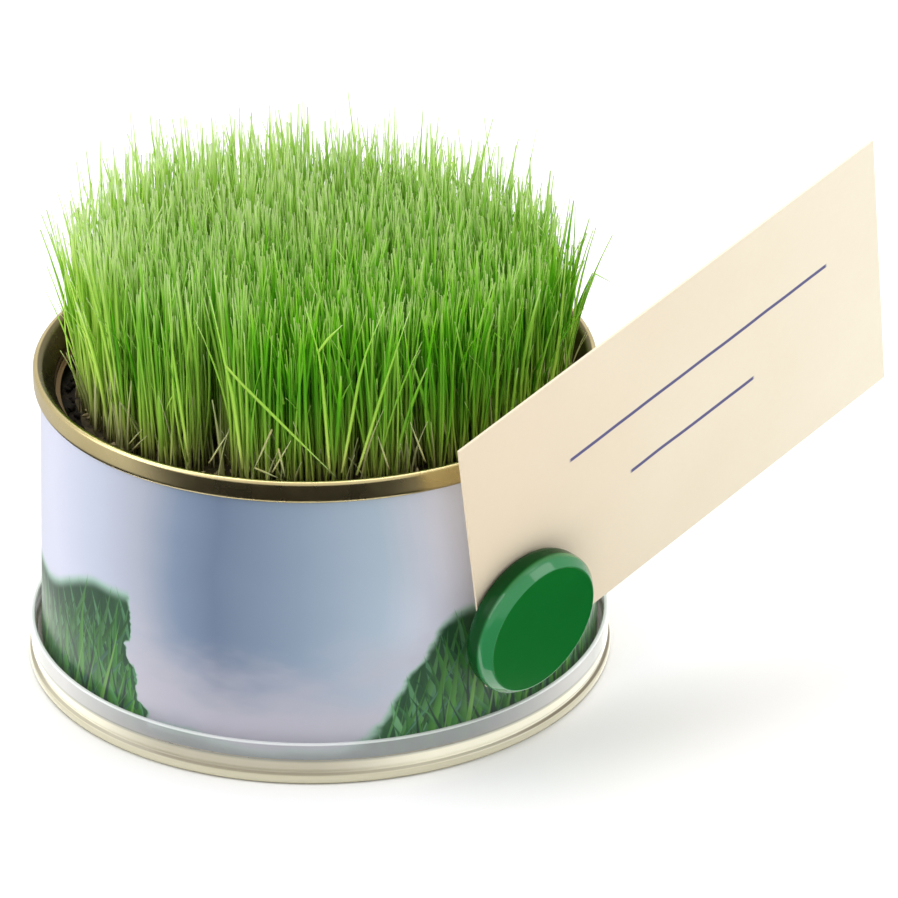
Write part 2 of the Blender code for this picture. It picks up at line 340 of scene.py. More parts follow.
def printed_paper():
    """A printed landscape: a calm sky, white at the side and blue-grey in front, over tall grass."""
    label = Finish("printed paper", Roughness=0.38, Coat_Roughness=0.22)
    around, up = around_the_label(label)
    drift = label.noise(label.vector(around * 0.018, up * 0.034, 3.7), 1.0, 3.0)
    sky = label.ramp((around + drift * 9.0 + 55.5) / 100.0, SKY)
    bank = label.noise(label.vector(around * 0.040, up * 0.085, 8.1), 1.0, 4.0)
    low_cloud = label.smooth(bank * 34.0 - up, -7.0, 9.0)
    sky = label.mix(low_cloud * 0.8, sky, (0.50, 0.475, 0.54))
    roll = label.noise(label.vector(around * 0.055, 2.2, 0.0), 1.0, 2.0) * 8.0 - 4.0
    ragged = around + label.noise(label.vector(around * 0.14, up * 0.20, 9.3), 1.0, 3.0) * 7.0 - 3.5
    right_bank = label.smooth(ragged, 3.0, 25.0) * RIGHT_BANK
    left_height = LEFT_BANK + label.smooth(around, -54.0, -33.0) * LEFT_BANK_GAIN
    left_bank = label.smooth(ragged, -27.0, -32.0) * left_height
    meadow_top = right_bank.math("MAXIMUM", left_bank) + roll + MEADOW_LOWEST
    blur = label.smooth(meadow_top + 0.7 - up, 0.0, 1.6)
    colour = label.mix(blur * 0.8, sky, (0.25, 0.47, 0.33))
    gaps = label.noise(label.vector(around * 0.5, up * 0.22, 4.4), 1.0, 3.0)
    dark = label.mix(gaps, (0.003, 0.024, 0.018), (0.036, 0.150, 0.042))
    meadow = label.smooth(meadow_top - up, 0.2, 2.2)
    colour = label.mix(meadow, colour, dark)
    for layer in BLADE_LAYERS:
        colour = printed_blades(label, colour, around, up, meadow_top, layer)
    right_shade = label.smooth(around, 4.0, 22.0) * 0.36
    left_shade = label.smooth(around, -24.0, -36.0) * 0.42
    shade = right_shade.math("MAXIMUM", left_shade) * meadow
    colour = label.mix(shade, colour, (0.003, 0.030, 0.018))
    label.surface("Base Color", colour)
    label.surface("Coat Weight", 0.25 - meadow * 0.22)
    grain = label.noise(label.place(), 1400.0, 2.0)
    label.bump(grain, 0.01 * MM, 0.25)
    return label.material


def clear_plastic():
    """Thin clear plastic: its wall veils the label; painted highlight on the lip, painted reflection over
    the seam, painted shade lines.
    """
    clear = Finish("clear plastic", Roughness=0.07, IOR=1.5)
    x, y, z = clear.axes(clear.place())
    height = z / MM
    radius = clear.off_axis(x, y) / MM
    around = around_the_label(clear)[0]
    off_front = around.math("ABSOLUTE")
    wall = LID_WALL_RADIUS / MM
    edge_on = clear.node("ShaderNodeLayerWeight", {}, {"Blend": 0.5}, "Facing")
    outside = clear.smooth(radius, wall - 0.65, wall - 0.55)
    # Painted highlight: the lip is paler and denser.
    lip = clear.smooth((height - LID_TOP / MM + 0.10).math("ABSOLUTE"), 0.18, 0.06)
    veil = clear.smooth(height, SEAM_LINE / MM - 0.10, SEAM_LINE / MM + 0.20)
    # Painted shadow: a dark stripe along the seam's top edge.
    seam_shadow_line = clear.smooth((height - SEAM_LINE / MM).math("ABSOLUTE"), 0.40, 0.10)
    # Painted shadow in the step's groove, stronger toward the right.
    step = clear.smooth((height - LID_STEP / MM).math("ABSOLUTE"), 0.24, 0.08)
    right_shadow_gain = clear.smooth(around, 18.0, 44.0)
    foot = clear.smooth(height, LID_STEP / MM, LID_STEP / MM - 0.35)
    # Painted reflection: the band over the seam is bright cream, dull toward the front-left.
    painted_gleam = clear.smooth((around + 11.0).math("ABSOLUTE"), 10.0, 30.0)
    seam = clear.mix(painted_gleam, (0.52, 0.48, 0.36), (0.99, 0.95, 0.76))
    # Painted shade: the seam band and the veil turn darker at the wall's two ends.
    ends = clear.smooth(off_front, 44.0, 60.0)
    seam = clear.mix(ends, seam, (0.58, 0.55, 0.43))
    beside = clear.smooth(off_front, 18.0, 46.0)
    haze = clear.mix(beside, (0.64, 0.64, 0.68), (0.70, 0.69, 0.67))
    haze = clear.mix(ends, haze, (0.42, 0.44, 0.40))
    colour = clear.mix(veil, seam, haze)
    colour = clear.mix(seam_shadow_line * 0.5, colour, (0.22, 0.24, 0.20))
    colour = clear.mix(lip, colour, (0.86, 0.89, 0.87))
    colour = clear.mix(foot, colour, (0.62, 0.585, 0.42))
    clear.surface("Base Color", clear.mix(step * (0.6 + right_shadow_gain * 0.4), colour, (0.20, 0.17, 0.11)))
    grazing = edge_on * edge_on * edge_on
    veiled = 0.80 - veil * (0.54 - beside * 0.42)
    cover = 0.10 + grazing * 0.35 + lip * 0.30 + outside * (veiled + step * 0.30)
    clear.surface("Alpha", cover.math("MINIMUM", 1.0))
    return clear.material


def dark_soil():
    soil = Finish("dark soil", Specular_IOR_Level=0.25)
    place = soil.place()
    grain = soil.noise(place, 700.0, 5.0, 0.65)
    stops = (
        (0.25, (0.004, 0.003, 0.002)), (0.55, (0.018, 0.012, 0.007)),
        (0.80, (0.060, 0.040, 0.022)))
    soil.surface("Base Color", soil.ramp(grain, stops))
    soil.surface("Roughness", 0.75 + grain * 0.2)
    soil.bump(grain, 0.25 * MM, 0.8)
    return soil.material


def seed_mat_fibre():
    mat = Finish("roots and husks", Roughness=0.85)
    place = mat.place()
    fibre = mat.noise(place, 520.0, 5.0, 0.7)
    stops = (
        (0.35, (0.020, 0.014, 0.006)), (0.60, (0.11, 0.085, 0.030)),
        (0.85, (0.32, 0.27, 0.12)))
    mat.surface("Base Color", mat.ramp(fibre, stops))
    mat.bump(fibre, 0.3 * MM, 0.8)
    return mat.material


def leaf(name, deep, lighter, through):
    """A blade: colours from foot to tip, deeper or lighter by its tone, with light shining through."""
    green = Finish(name, Roughness=0.5, Specular_IOR_Level=0.05)
    along = green.attribute("along")
    tone = green.attribute("tone")
    green.surface("Base Color", green.mix(tone, green.ramp(along, deep), green.ramp(along, lighter)))
    glow = green.node("ShaderNodeBsdfTranslucent", {}, {"Color": through})
    surface = Value(green, green.shader.outputs[0])
    share = 0.05 + along * 0.10 + along * tone * 0.24
    blend = green.node("ShaderNodeMixShader", {}, {0: share, 1: surface, 2: glow})
    green.feed(green.output.inputs["Surface"], blend)
    return green.material


def young_leaf():
    deep = (
        (0.00, (0.50, 0.50, 0.16)), (0.12, (0.48, 0.58, 0.11)), (0.30, (0.28, 0.54, 0.05)),
        (0.58, (0.12, 0.44, 0.020)), (0.82, (0.14, 0.54, 0.010)), (0.93, (0.28, 0.64, 0.04)),
        (1.00, (0.40, 0.56, 0.16)))
    lighter = (
        (0.00, (0.62, 0.60, 0.26)), (0.12, (0.64, 0.74, 0.22)), (0.30, (0.60, 0.84, 0.15)),
        (0.58, (0.64, 0.94, 0.14)), (0.82, (0.74, 0.96, 0.20)), (0.93, (0.90, 0.98, 0.46)),
        (1.00, (0.80, 0.84, 0.54)))
    return leaf("young leaf", deep, lighter, (0.36, 0.86, 0.07))


def straw_stem():
    deep = ((0.00, (0.34, 0.33, 0.10)), (0.50, (0.42, 0.46, 0.13)), (1.00, (0.50, 0.58, 0.20)))
    lighter = ((0.00, (0.54, 0.52, 0.22)), (0.50, (0.66, 0.70, 0.32)), (1.00, (0.76, 0.82, 0.46)))
    return leaf("straw stem", deep, lighter, (0.60, 0.60, 0.26))


def seed_husk():
    husk = Finish("seed husk", Roughness=0.6)
    shade = husk.noise(husk.place(), 650.0, 3.0)
    stops = ((0.3, (0.26, 0.19, 0.09)), (0.7, (0.60, 0.50, 0.28)))
    husk.surface("Base Color", husk.ramp(shade, stops))
    return husk.material


def green_plastic():
    """Green plastic: a plain face, a glossier chamfer round it with a painted highlight, and a side
    darkened by painted shade.
    """
    green = Finish("green plastic", Roughness=0.24, Specular_IOR_Level=0.09, Coat_Roughness=0.08)
    place = green.place()
    x, y, height = green.axes(place)
    radius = green.off_axis(x, y)
    off_face = green.smooth(radius, MAGNET_RADIUS - 1.45 * MM, MAGNET_RADIUS - 1.25 * MM)
    bevel_highlight = off_face * green.smooth(height, 2.7 * MM, 3.4 * MM)
    side = off_face * green.smooth(height, 3.2 * MM, 2.5 * MM)
    cloudy = green.noise(place, 90.0, 3.0)
    colour = green.mix(cloudy, (0.002, 0.108, 0.014), (0.003, 0.134, 0.018))
    # Painted highlight: the chamfer is paler.
    colour = green.mix(bevel_highlight * 0.7, colour, (0.035, 0.250, 0.090))
    # Painted shade: the side is darker.
    green.surface("Base Color", green.mix(side * 0.85, colour, (0.003, 0.040, 0.008)))
    green.surface("Coat Weight", bevel_highlight * 0.9)
    green.bump(green.noise(place, 700.0, 3.0), 0.01 * MM, 0.2)
    return green.material


def ferrite():
    grey = Finish("ferrite", Metallic=0.2)
    grain = grey.noise(grey.place(), 1200.0, 4.0)
    grey.surface("Base Color", grey.mix(grain, (0.030, 0.030, 0.033), (0.075, 0.073, 0.075)))
    grey.surface("Roughness", 0.5 + grain * 0.2)
    return grey.material


# Start, end and height of each ruled line, in mm on the card
RULED_LINES = ((21.0, 77.0, 33.0), (33.0, 60.0, 21.5))


def cream_card():
    """Uncoated cream card, paler toward its far end, with two ruled lines in blue ink and no writing."""
    card = Finish("cream card", Roughness=0.72, Specular_IOR_Level=0.3)
    place = card.place()
    along, across, depth = card.axes(place)
    face = card.smooth(depth, 0.25 * MM, 0.30 * MM)
    tooth = card.noise(place, 900.0, 4.0, 0.6)
    cloudy = card.noise(place, 35.0, 2.0) * 0.35 + along / CARD_LENGTH * 0.65
    colour = card.mix(cloudy, (0.70, 0.58, 0.425), (0.83, 0.775, 0.63))
    colour = card.mix(tooth * 0.12, colour, (0.62, 0.50, 0.35))
    waver = card.noise(place, 60.0, 2.0) * (0.5 * MM)
    for start, end, height in RULED_LINES:
        off = (across + CARD_WIDTH / 2 - height * MM + waver).math("ABSOLUTE")
        pen = card.smooth(off, 0.42 * MM, 0.26 * MM)
        begun = card.smooth(along, start * MM, (start + 0.6) * MM)
        ended = card.smooth(along, end * MM, (end + 0.6) * MM)
        colour = card.mix(pen * begun * (1 - ended) * face * 0.9, colour, (0.03, 0.035, 0.20))
    card.surface("Base Color", colour)
    card.bump(tooth, 0.03 * MM, 0.35)
    return card.material


def in_scene(name, data):
    made = bpy.data.objects.new(name, data)
    bpy.context.scene.collection.objects.link(made)
    return made


def as_piece(name, mesh, finish, node, place=None):
    """An object of the mesh that rides on the tin and stands for the node."""
    mesh.materials.append(finish)
    piece = in_scene(name, mesh)
    if place is not None:
        piece.matrix_world = place
    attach(piece, "root")
    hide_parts(node)


def mesh_from(bm, name):
    bmesh.ops.recalc_face_normals(bm, faces=bm.faces)
    mesh = bpy.data.meshes.new(name)
    bm.to_mesh(mesh)
    bm.free()
    return mesh


def modelled(name, bm, finish, node, place=None, sharp_degrees=40):
    """A piece shaded smooth, except where its surface turns sharply."""
    mesh = mesh_from(bm, name)
    mesh.shade_smooth()
    mesh.set_sharp_from_angle(angle=math.radians(sharp_degrees))
    as_piece(name, mesh, finish, node, place)


def rounded(corners, steps=5):
    """A profile through (radius, height, rounding) corners, in metres."""
    points = []
    for i, (r, z, size) in enumerate(corners):
        corner = Vector((r, z))
        if size == 0.0:
            points.append(corner)
            continue
        before = Vector(corners[i - 1][:2]) - corner
        after = Vector(corners[(i + 1) % len(corners)][:2]) - corner
        start = corner + before.normalized() * min(size, before.length * 0.49)
        end = corner + after.normalized() * min(size, after.length * 0.49)
        for step in range(steps + 1):
            t = step / steps
            points.append(start * (1 - t) ** 2 + corner * 2 * t * (1 - t) + end * t ** 2)
    return points


def turned(profile, segments=192, closed=True):
    """Spin a profile about Z. An open profile starts and ends on the axis."""
    bm = bmesh.new()
    rings = []
    for point in profile:
        if point[0] < 1e-9:
            rings.append([bm.verts.new((0.0, 0.0, point[1]))])
            continue
        turns = [math.tau * i / segments for i in range(segments)]
        spots = [(point[0] * math.cos(a), point[0] * math.sin(a), point[1]) for a in turns]
        rings.append([bm.verts.new(spot) for spot in spots])
    pairs = list(zip(rings, rings[1:]))
    if closed:
        pairs.append((rings[-1], rings[0]))
    for low, high in pairs:
        for i in range(segments):
            j = (i + 1) % segments
            corners = [low[i % len(low)], low[j % len(low)], high[j % len(high)], high[i % len(high)]]
            bm.faces.new(list(dict.fromkeys(corners)))
    return bm


def make_top_seam(gold):
    """The double seam with its rolled edges, the countersunk wall and the cut edge of the pulled lid."""
    low = RIM_TOP - SEAM_HEIGHT
    skirt_low = RIM_TOP - RIM_HEIGHT
    skirt = LABEL_TOP_RADIUS + 0.15 * MM
    over_label = label_high.z + 0.05 * MM
    inner = SEAM_RADIUS - SEAM_THICKNESS
    wall = WALL_INNER - PIECE_GAP
    ledge = wall - 1.2 * MM          # the cut edge of the pulled lid
    profile = rounded([
        (inner, RIM_TOP - 0.45 * MM, 0.35 * MM),
        (SEAM_RADIUS - 0.55 * MM, RIM_TOP, 0.4 * MM),
        (SEAM_RADIUS, RIM_TOP - 0.35 * MM, 0.35 * MM),
        (SEAM_RADIUS, skirt_low + 0.5 * MM, 0.5 * MM),
        (SEAM_RADIUS - 0.45 * MM, skirt_low, 0.3 * MM),
        (skirt, skirt_low + 0.05 * MM, 0.1 * MM),
        (skirt, over_label, 0.1 * MM),
        (wall, over_label + 0.05 * MM, 0.1 * MM),
        (wall, RING_FOOT, 0.3 * MM),
        (ledge, RING_FOOT, 0.1 * MM),
        (ledge, RING_FOOT + SHEET, 0.1 * MM),
        (wall - SHEET, RING_FOOT + SHEET, 0.25 * MM),
        (wall - SHEET, low, 0.3 * MM),
    ])
    modelled("top_seam", turned(profile, 256), gold, "top_ring")


def make_tin_wall(lacquer):
    foot = wall_low.z
    top = wall_high.z
    profile = rounded([
        (WALL_RADIUS, top, 0.0),
        (WALL_RADIUS, foot, 0.0),
        (WALL_INNER, foot, 0.0),
        (WALL_INNER, top, 0.0),
    ])
    modelled("steel_wall", turned(profile, 256), lacquer, "tin_body")


def make_base_end(gold):
    """The lower double seam and the bottom panel with its expansion rings."""
    low = base_low.z
    high = low + SEAM_HEIGHT
    panel = base_high.z
    under = panel - 0.6 * MM
    inner = WALL_INNER - PIECE_GAP
    bead = 0.5 * MM
    profile = rounded([
        (0.0, panel, 0.0),
        (12.0 * MM, panel, 0.4 * MM),
        (13.0 * MM, panel - bead, 0.4 * MM),
        (27.0 * MM, panel - bead, 0.4 * MM),
        (28.0 * MM, panel, 0.4 * MM),
        (inner, panel, 0.3 * MM),
        (inner, high, 0.1 * MM),
        (SEAM_RADIUS - 0.55 * MM, high, 0.4 * MM),
        (SEAM_RADIUS - 0.05 * MM, high - 0.5 * MM, 0.5 * MM),
        (SEAM_RADIUS, low + 1.0 * MM, 0.5 * MM),
        (SEAM_RADIUS - 0.3 * MM, low + 0.05 * MM, 0.5 * MM),
        (SEAM_RADIUS - SEAM_THICKNESS, low, 0.4 * MM),
        (inner - 0.6 * MM, low + 1.0 * MM, 0.4 * MM),
        (inner - 0.6 * MM, under, 0.4 * MM),
        (28.0 * MM, under, 0.4 * MM),
        (27.0 * MM, under - bead, 0.4 * MM),
        (13.0 * MM, under - bead, 0.4 * MM),
        (12.0 * MM, under, 0.4 * MM),
        (0.0, under, 0.0),
    ])
    modelled("base_end", turned(profile, 256, closed=False), gold, "tin_base")


LAP_ANGLE = math.radians(9)     # how far the sleeve's outer end overlaps its inner end
LAP_DROP = LABEL_PAPER + 0.04 * MM


def make_sleeve(paper):
    """The paper sleeve: one strip around the tin whose ends overlap at the back."""
    start = math.atan2(-TOWARD_CAMERA.y, -TOWARD_CAMERA.x)
    around, up = 320, 24
    top, foot = label_high.z, label_low.z - LABEL_OVERHANG
    bm = bmesh.new()
    rows = []
    for i in range(around + 1):
        turn = start + (math.tau + LAP_ANGLE) * i / around
        rise = min(max((turn - start - LAP_ANGLE) / LAP_ANGLE, 0.0), 1.0)
        drop = LAP_DROP * (1 - rise * rise * (3 - 2 * rise))
        column = []
        for side in (0.0, LABEL_PAPER):
            for j in range(up + 1):
                share = (j if side == 0.0 else up - j) / up
                radius = LABEL_FOOT_RADIUS + (LABEL_TOP_RADIUS - LABEL_FOOT_RADIUS) * share - drop - side
                z = foot + (top - foot) * share
                column.append(bm.verts.new((radius * math.cos(turn), radius * math.sin(turn), z)))
        rows.append(column)
    count = len(rows[0])
    for left, right in zip(rows, rows[1:]):
        for j in range(count):
            k = (j + 1) % count
            bm.faces.new((left[j], right[j], right[k], left[k]))
    bm.faces.new(rows[0])
    bm.faces.new(rows[-1])
    modelled("label_sleeve", bm, paper, "label")


def make_press_lid(plastic):
    """The clear lid: a floor with moulded steps, a grooved wall and a rounded lip."""
    inner = LID_WALL_RADIUS - LID_THICKNESS
    floor = 0.9 * MM
    profile = rounded([
        (0.0, floor, 0.0),
        (inner - 0.3 * MM, floor, 0.5 * MM),
        (inner - 0.3 * MM, 4.4 * MM, 0.3 * MM),
        (inner, 4.8 * MM, 0.3 * MM),
        (inner, LID_TOP, 0.35 * MM),
        (LID_WALL_RADIUS, LID_TOP, 0.35 * MM),
        (LID_WALL_RADIUS, 2.4 * MM, 0.4 * MM),
        (LID_WALL_RADIUS - 0.35 * MM, 1.9 * MM, 0.25 * MM),
        (LID_FOOT_RADIUS, 1.4 * MM, 0.4 * MM),
        (LID_FOOT_RADIUS, 0.0, 0.9 * MM),
        (38.0 * MM, 0.0, 0.2 * MM),
        (37.6 * MM, 0.3 * MM, 0.2 * MM),
        (30.0 * MM, 0.3 * MM, 0.2 * MM),
        (29.6 * MM, 0.0, 0.2 * MM),
        (0.0, 0.0, 0.0),
    ])
    modelled("press_lid", turned(profile, 256, closed=False), plastic, "clear_lid")


def level(turn):
    """The level direction at an angle about Z."""
    return Vector((math.cos(turn), math.sin(turn), 0.0))


def soil_height(x, y):
    """Lumps of the soil's surface, in metres."""
    place = Vector((x, y, 0.0))
    lumps = noise.noise(place * 260) * 0.55 + noise.noise(place * 700) * 0.30
    return (lumps - 0.35) * MM


def close_bed(bm, rows, foot, middle):
    """Join rings of points round a middle, with a wall down to the foot and a flat underside."""
    rows.append([bm.verts.new((v.co.x, v.co.y, foot)) for v in rows[-1]])
    centre = bm.verts.new(middle)
    segments = len(rows[0])
    for j in range(segments):
        k = (j + 1) % segments
        bm.faces.new((centre, rows[0][j], rows[0][k]))
        for low, high in zip(rows, rows[1:]):
            bm.faces.new((low[j], high[j], high[k], low[k]))
    bm.faces.new(rows[-1])


def make_potting_soil(earth):
    rings, segments = 44, 180
    bm = bmesh.new()
    rows = []
    for i in range(1, rings + 1):
        radius = SOIL_RADIUS * i / rings
        row = []
        for j in range(segments):
            x = radius * math.cos(math.tau * j / segments)
            y = radius * math.sin(math.tau * j / segments)
            row.append(bm.verts.new((x, y, SOIL_TOP + soil_height(x, y))))
        rows.append(row)
    close_bed(bm, rows, soil_low.z, (0.0, 0.0, SOIL_TOP))
    modelled("potting_soil", bm, earth, "soil", sharp_degrees=60)


def lump(bm, centre, size, draw):
    """A rough crumb."""
    made = bmesh.ops.create_icosphere(bm, subdivisions=1, radius=size)["verts"]
    stretch = Vector([draw.uniform(0.6, 1.25) for _ in range(3)])
    for vert in made:
        rough = draw.uniform(0.78, 1.15)
        vert.co = Vector([a * b * rough for a, b in zip(vert.co, stretch)]) + centre


def make_soil_crumbs(earth):
    draw = random.Random(5)
    bm = bmesh.new()
    for _ in range(900):
        turn = draw.uniform(0.0, math.tau)
        radius = SOIL_RADIUS * math.sqrt(draw.uniform(0.62, 0.93))
        x, y = radius * math.cos(turn), radius * math.sin(turn)
        size = draw.uniform(0.25, 0.85) * MM
        z = SOIL_TOP + soil_height(x, y) + size * 0.3
        lump(bm, Vector((x, y, z)), size, draw)
    modelled("soil_crumbs", bm, earth, "soil", sharp_degrees=60)


def make_seed_mat(fibre):
    """The thin mat of roots and seeds that the blades stand in."""
    rings, segments = 26, 160
    bm = bmesh.new()
    rows = []
    for i in range(1, rings + 1):
        row = []
        for j in range(segments):
            turn = math.tau * j / segments
            edge = SWARD_RADIUS + noise.noise(level(turn) * 5) * 0.9 * MM
            radius = edge * i / rings
            x = SWARD_OFFSET.x + radius * math.cos(turn)
            y = SWARD_OFFSET.y + radius * math.sin(turn)
            fall = (i / rings) ** 10 * 0.8 * MM
            row.append(bm.verts.new((x, y, MAT_TOP + soil_height(x, y) * 0.9 - fall)))
        rows.append(row)
    middle = (SWARD_OFFSET.x, SWARD_OFFSET.y, MAT_TOP)
    close_bed(bm, rows, SOIL_TOP - 1.0 * MM, middle)
    modelled("seed_mat", bm, fibre, "grass_sward", sharp_degrees=60)


class Blades:
    """Blades to grow into one mesh: each is a row of middles with a width, and a side it faces."""

    RINGS = 8

    def __init__(self):
        self.middles = []
        self.sides = []
        self.widths = []
        self.tones = []
        self.starts = []

    def add(self, middles, side, widths, tone, start=0.0):
        """A side leaf's colours start part way up the blade that it grows from."""
        self.starts.append(start)
        self.middles.append(middles)
        self.sides.append(side)
        self.widths.append(widths)
        self.tones.append(min(int(tone * TONES), TONES - 1))

    def mesh(self, name, fold=0.22, thickness=0.16):
        """Closed blades, folded a little along the midrib. All of one tone share a strip of the map."""
        middles = np.array(self.middles)
        sides = np.array(self.sides)[:, None, :]
        widths = np.array(self.widths)[..., None]
        count, rings = middles.shape[:2]
        tangents = np.gradient(middles, axis=1)
        tangents /= np.linalg.norm(tangents, axis=2, keepdims=True)
        across = sides - tangents * (sides * tangents).sum(2, keepdims=True)
        across /= np.linalg.norm(across, axis=2, keepdims=True)
        normals = np.cross(tangents, across)
        normals /= np.linalg.norm(normals, axis=2, keepdims=True)
        half = across * widths / 2
        crease = normals * widths * fold
        thick = normals * np.maximum(widths * thickness, 0.05 * MM)
        left, right = middles - half + crease, middles + half + crease
        corners = np.stack([left, middles - thick / 2, right, middles + thick / 2], 2)
        points = corners.reshape(-1, 3)
        blade, ring = np.arange(count)[:, None, None], np.arange(rings - 1)[None, :, None]
        first = (blade * rings + ring) * 4
        turn = np.arange(4)[None, None, :]
        after = (turn + 1) % 4
        sheets = np.stack([first + turn, first + after, first + after + 4, first + turn + 4], 3)
        root = np.arange(count)[:, None] * rings * 4
        caps = np.concatenate([root + [3, 2, 1, 0], root + (rings - 1) * 4 + [0, 1, 2, 3]])
        faces = np.concatenate([sheets.reshape(-1, 4), caps])
        mesh = bpy.data.meshes.new(name)
        mesh.from_pydata(points.tolist(), [], faces.tolist())
        tone = np.array(self.tones)
        start = np.array(self.starts)[:, None]
        along = start + (1 - start) * np.linspace(0, 1, rings)[None, :]
        tones = np.repeat(tone / (TONES - 1), rings * 4)
        for title, values in (("along", along.repeat(4)), ("tone", tones)):
            layer = mesh.attributes.new(title, "FLOAT", "POINT")
            layer.data.foreach_set("value", values.astype(np.float32))
        self.lay_map(mesh, tone, along)
        mesh.validate()
        mesh.shade_smooth()
        return mesh

    def lay_map(self, mesh, tone, along):
        """Each tone has its own strip of the map, and every blade of it lies along that strip."""
        count, rings = along.shape
        low = (tone + 0.15) / TONES
        wide = 0.7 / TONES
        step = along * 0.96 + 0.02
        left = np.broadcast_to(low[:, None, None], (count, rings - 1, 4))
        floor = np.broadcast_to(step[:, :-1, None], (count, rings - 1, 4))
        roof = np.broadcast_to(step[:, 1:, None], (count, rings - 1, 4))
        u = np.stack([left, left + wide, left + wide, left], 3).reshape(-1)
        v = np.stack([floor, floor, roof, roof], 3).reshape(-1)
        cap_u = np.repeat(low, 4).reshape(-1, 4) + np.array([0.0, wide, wide, 0.0])
        cap_v = np.array([-0.01, -0.01, 0.01, 0.01])
        foot_v, tip_v = step[:, :1] + cap_v, step[:, -1:] + cap_v
        u = np.concatenate([u, cap_u.reshape(-1), cap_u.reshape(-1)])
        v = np.concatenate([v, foot_v.reshape(-1), tip_v.reshape(-1)])
        layer = mesh.uv_layers.new(name="OFBake")
        layer.uv.foreach_set("vector", np.stack([u, v], 1).astype(np.float32).reshape(-1))


def blade_widths(width, foot_share, tip_from):
    """Width at each ring: narrow at the foot, full in the middle, tapering to the tip."""
    along = np.linspace(0, 1, Blades.RINGS)
    swell = foot_share + (1 - foot_share) * np.clip(along / 0.35, 0, 1)
    taper = np.clip((1 - along) / (1 - tip_from), 0.24, 1) ** 0.8
    return width * swell * taper


def grown(root, lean, height, bow, facing):
    """Middles of a blade that rises from its root, curves by its bow and ends at its lean."""
    along = np.linspace(0, 1, Blades.RINGS)[:, None]
    away = np.array(level(facing + math.pi / 2))
    drift = np.array(lean)[None, :] * along ** 1.7
    curve = away[None, :] * bow * np.sin(along * math.pi)
    rise = np.array([0.0, 0.0, 1.0])[None, :] * height * along
    return np.array(root)[None, :] + drift + curve + rise


def through(points):
    """Middles of a blade that passes through a few places."""
    spots = np.array(points)
    length = np.concatenate([[0.0], np.cumsum(np.linalg.norm(np.diff(spots, axis=0), axis=1))])
    steps = np.linspace(0, length[-1], Blades.RINGS)
    return np.stack([np.interp(steps, length, spots[:, axis]) for axis in range(3)], 1)


BLADE_COUNT = 3300              # in each of the two pieces that make up the sward
BLADE_HEIGHT = 28.2 * MM
BLADE_SPREAD = 2.2 * MM
TALLEST = 38.2 * MM
TALL_SIDE_GAIN = 3.0 * MM       # the sward stands taller toward -X
TALL_BACK_GAIN = 1.6 * MM       # and at the back
LEAN = 2.5 * MM
EDGE_LEAN = 2.2 * MM
FRONT_TONE = 0.11               # tone of the blades at the front, kept deep as painted shade
# Bare spots in the mat: to the right of its middle, in front of it, and half sizes both ways, in mm
BARE_SPOTS = (
    (-15.4, 32.0, 2.2, 6.5), (5.6, 35.0, 0.9, 4.0), (14.4, 32.5, 1.2, 4.5), (-28.0, 25.0, 0.9, 2.2))


def sward_place(i, draw):
    """Root, outward direction and reach of the i-th blade on a sunflower spiral, a little jittered."""
    reach = math.sqrt((i + 0.5) / BLADE_COUNT)
    outward = level(i * math.pi * (3 - math.sqrt(5)) + draw.gauss(0.0, 0.01))
    jitter = Vector((draw.gauss(0.0, 0.6), draw.gauss(0.0, 0.6), 0.0)) * MM
    root = SWARD_OFFSET + outward * (SWARD_RADIUS - 0.8 * MM) * reach + jitter
    root.z = MAT_TOP - 0.6 * MM
    return root, outward, reach


def seen_from_middle(root):
    """How far a root stands to the right of the sward's middle and in front of it."""
    away = root - SWARD_OFFSET
    return away.dot(TO_THE_RIGHT), away.dot(TOWARD_CAMERA)


def bare(root):
    """Whether a root would stand in a bare spot."""
    right, front = (part / MM for part in seen_from_middle(root))
    return any(((right - x) / a) ** 2 + ((front - y) / b) ** 2 < 1 for x, y, a, b in BARE_SPOTS)


def clump(root):
    """A slow change over the sward, from -1 to 1, that sets taller and yellower tufts apart."""
    return noise.noise(Vector((root.x, root.y, 0.3)) * 95) * 1.6


def blade_tone(root, tuft, draw):
    """Painted light and shade: deep at the front and the right, lighter at the left and the back; lighter
    too in tall tufts.
    """
    right, front = (part / SWARD_RADIUS for part in seen_from_middle(root))
    # Painted light and shade, by where the blade stands.
    lighter = 0.85 * max(-right, 0) ** 2 - 0.14 * max(right, 0)
    lighter += 0.36 * max(0.60 - front, 0) + 0.28 * max(-front, 0)
    return FRONT_TONE + lighter + tuft * 0.22 + draw.gauss(0.0, 0.15)


def kept(tone):
    return min(max(tone, 0.0), 0.999)


